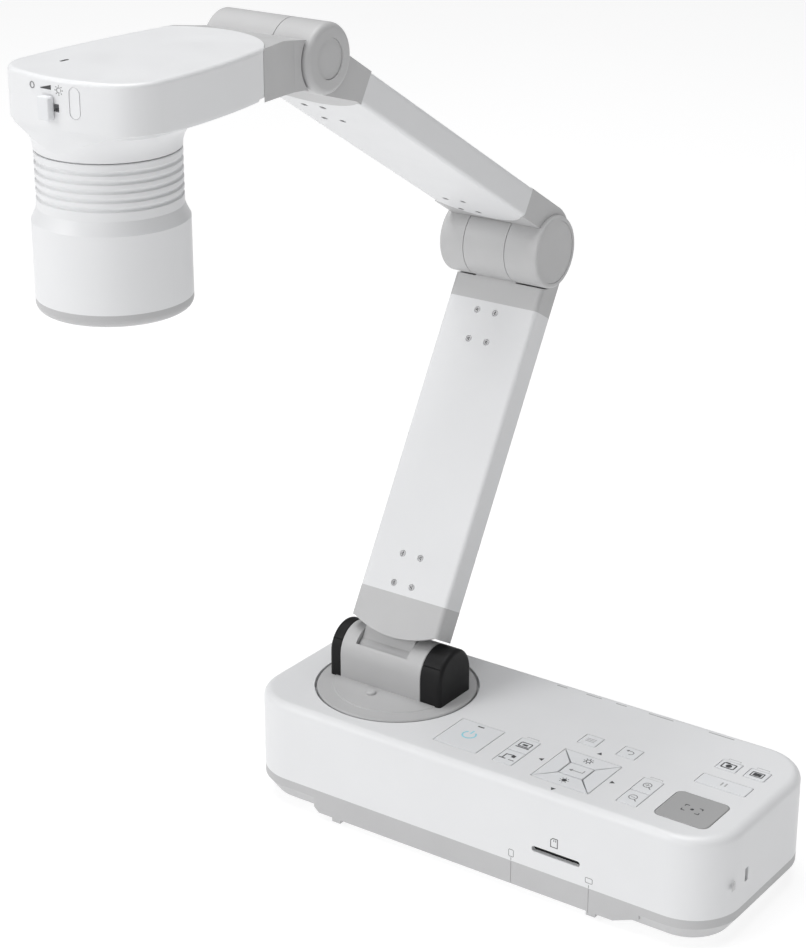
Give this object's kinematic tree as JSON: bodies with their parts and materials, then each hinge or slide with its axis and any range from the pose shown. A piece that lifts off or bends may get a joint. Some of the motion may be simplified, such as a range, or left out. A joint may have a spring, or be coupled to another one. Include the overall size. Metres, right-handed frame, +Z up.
{
  "type": "document camera",
  "caption": "Desktop document camera: flat base with a key panel, turntable, hinged two-part arm, and a tilting camera head with a turning lens barrel that looks down at a sheet.",
  "frame": {"origin": "centre of the base on the table plane", "axes": "+X along the base towards the key panel, +Y to the back where the sockets are, +Z up; the sheet lies in front of the base at -Y"},
  "size_m": [0.273, 0.3493, 0.4179],
  "materials": {
    "white_plastic": "satin moulded white plastic",
    "white_key": "satin moulded white plastic, key caps",
    "grey_plastic": "fine-textured mid grey plastic, arm brackets",
    "tray_grey": "fine-textured light grey plastic, base tray",
    "black_plastic": "fine-textured black plastic",
    "rubber": "black rubber",
    "steel": "bright steel",
    "screw_zinc": "zinc-plated steel",
    "circuit_board": "green solder mask",
    "lens_glass": "coated optical glass",
    "lamp_diffuser": "white translucent lamp cover",
    "socket_metal": "nickel-plated socket shell",
    "socket_blue": "blue display socket",
    "video_yellow": "yellow video socket"
  },
  "bodies": {
    "base": {"top_cover": "white_plastic", "bottom_tray": "tray_grey", "rubber_feet": "rubber", "case_screws": "screw_zinc", "ballast_plate": "steel", "main_board": "circuit_board", "key_board": "circuit_board", "key_switches": "black_plastic", "card_socket": "socket_metal", "lock_plate": "steel", "power_socket": "black_plastic", "usb_socket": "socket_metal", "video_socket": "video_yellow", "display_sockets": "socket_blue"},
    "turntable": {"turntable_disc": "grey_plastic", "turntable_retainer": "steel", "retainer_screws": "screw_zinc", "hinge_housing": "grey_plastic", "hinge_cap_left": "black_plastic", "hinge_cap_right": "black_plastic", "shoulder_pin": "steel"},
    "lower_arm": {"lower_tube": "white_plastic", "foot_bracket": "grey_plastic", "lower_top_bracket": "grey_plastic", "lower_arm_screws": "screw_zinc"},
    "upper_arm": {"upper_tube": "white_plastic", "elbow_bracket": "grey_plastic", "pivot_bracket": "grey_plastic", "upper_arm_screws": "screw_zinc", "hinge_pins": "steel", "joint_caps": "grey_plastic"},
    "head": {"head_cover": "white_plastic", "head_base": "white_plastic", "head_plug": "white_plastic", "neck_bracket": "grey_plastic", "camera_board": "circuit_board"},
    "lens": {"lens_barrel": "white_plastic", "barrel_clip": "steel", "hood_ring": "tray_grey", "front_window": "lens_glass", "lens_cell": "black_plastic", "front_lens": "lens_glass", "lamp": "lamp_diffuser"},
    "lamp_switch": {"lamp_slider": "white_key"},
    "key_power": {"key_power": "white_key"},
    "key_menu": {"key_menu": "white_key"},
    "key_escape": {"key_escape": "white_key"},
    "key_focus": {"key_focus": "tray_grey"},
    "key_freeze": {"key_freeze": "white_key"},
    "key_capture": {"key_capture": "white_key"},
    "key_record": {"key_record": "white_key"},
    "key_source_computer": {"key_source_computer": "white_key"},
    "key_source_camera": {"key_source_camera": "white_key"},
    "key_zoom_in": {"key_zoom_in": "white_key"},
    "key_zoom_out": {"key_zoom_out": "white_key"},
    "key_up": {"key_up": "white_key"},
    "key_left": {"key_left": "white_key"},
    "key_down": {"key_down": "white_key"},
    "key_right": {"key_right": "white_key"},
    "key_enter": {"key_enter": "white_key"}
  },
  "joints": [
    {"name": "turntable_swivel", "type": "hinge", "parent": "base", "child": "turntable", "pos_m": [-0.077, 0, 0.0594], "axis": [0, 0, 1], "range_deg": [-90, 90]},
    {"name": "shoulder_tilt", "type": "hinge", "parent": "turntable", "child": "lower_arm", "pos_m": [-0.077, 0.0021, 0.0714], "axis": [1, 0, 0], "range_deg": [-59, 35]},
    {"name": "elbow_bend", "type": "hinge", "parent": "lower_arm", "child": "upper_arm", "pos_m": [-0.077, 0.09729, 0.27094], "axis": [-1, 0, 0], "range_deg": [-58, 45]},
    {"name": "head_tilt", "type": "hinge", "parent": "upper_arm", "child": "head", "pos_m": [-0.077, -0.0916, 0.40241], "axis": [1, 0, 0], "range_deg": [-90, 25]},
    {"name": "lens_turn", "type": "hinge", "parent": "head", "child": "lens", "pos_m": [-0.077, -0.1986, 0.385], "axis": [0, 0, 1], "range_deg": [-90, 90]},
    {"name": "lamp_slide", "type": "slide", "parent": "head", "child": "lamp_switch", "axis": [1, 0, 0], "range_m": [-0.0035, 0.0035]},
    {"name": "key_power_press", "type": "slide", "parent": "base", "child": "key_power", "axis": [0, 0, -1], "range_m": [0, 0.0006], "stiffness_N_per_m": 1200},
    {"name": "key_menu_press", "type": "slide", "parent": "base", "child": "key_menu", "axis": [0, 0, -1], "range_m": [0, 0.0006], "stiffness_N_per_m": 1200},
    {"name": "key_escape_press", "type": "slide", "parent": "base", "child": "key_escape", "axis": [0, 0, -1], "range_m": [0, 0.0006], "stiffness_N_per_m": 1200},
    {"name": "key_focus_press", "type": "slide", "parent": "base", "child": "key_focus", "axis": [0, 0, -1], "range_m": [0, 0.0006], "stiffness_N_per_m": 1200},
    {"name": "key_freeze_press", "type": "slide", "parent": "base", "child": "key_freeze", "axis": [0, 0, -1], "range_m": [0, 0.0006], "stiffness_N_per_m": 1200},
    {"name": "key_capture_press", "type": "slide", "parent": "base", "child": "key_capture", "axis": [0, 0, -1], "range_m": [0, 0.0006], "stiffness_N_per_m": 1200},
    {"name": "key_record_press", "type": "slide", "parent": "base", "child": "key_record", "axis": [0, 0, -1], "range_m": [0, 0.0006], "stiffness_N_per_m": 1200},
    {"name": "key_source_computer_press", "type": "slide", "parent": "base", "child": "key_source_computer", "axis": [0, 0, -1], "range_m": [0, 0.0006], "stiffness_N_per_m": 1200},
    {"name": "key_source_camera_press", "type": "slide", "parent": "base", "child": "key_source_camera", "axis": [0, 0, -1], "range_m": [0, 0.0006], "stiffness_N_per_m": 1200},
    {"name": "key_zoom_in_press", "type": "slide", "parent": "base", "child": "key_zoom_in", "axis": [0, 0, -1], "range_m": [0, 0.0006], "stiffness_N_per_m": 1200},
    {"name": "key_zoom_out_press", "type": "slide", "parent": "base", "child": "key_zoom_out", "axis": [0, 0, -1], "range_m": [0, 0.0006], "stiffness_N_per_m": 1200},
    {"name": "key_up_press", "type": "slide", "parent": "base", "child": "key_up", "axis": [0, 0, -1], "range_m": [0, 0.0006], "stiffness_N_per_m": 1200},
    {"name": "key_left_press", "type": "slide", "parent": "base", "child": "key_left", "axis": [0, 0, -1], "range_m": [0, 0.0006], "stiffness_N_per_m": 1200},
    {"name": "key_down_press", "type": "slide", "parent": "base", "child": "key_down", "axis": [0, 0, -1], "range_m": [0, 0.0006], "stiffness_N_per_m": 1200},
    {"name": "key_right_press", "type": "slide", "parent": "base", "child": "key_right", "axis": [0, 0, -1], "range_m": [0, 0.0006], "stiffness_N_per_m": 1200},
    {"name": "key_enter_press", "type": "slide", "parent": "base", "child": "key_enter", "axis": [0, 0, -1], "range_m": [0, 0.0006], "stiffness_N_per_m": 1200}
  ]
}
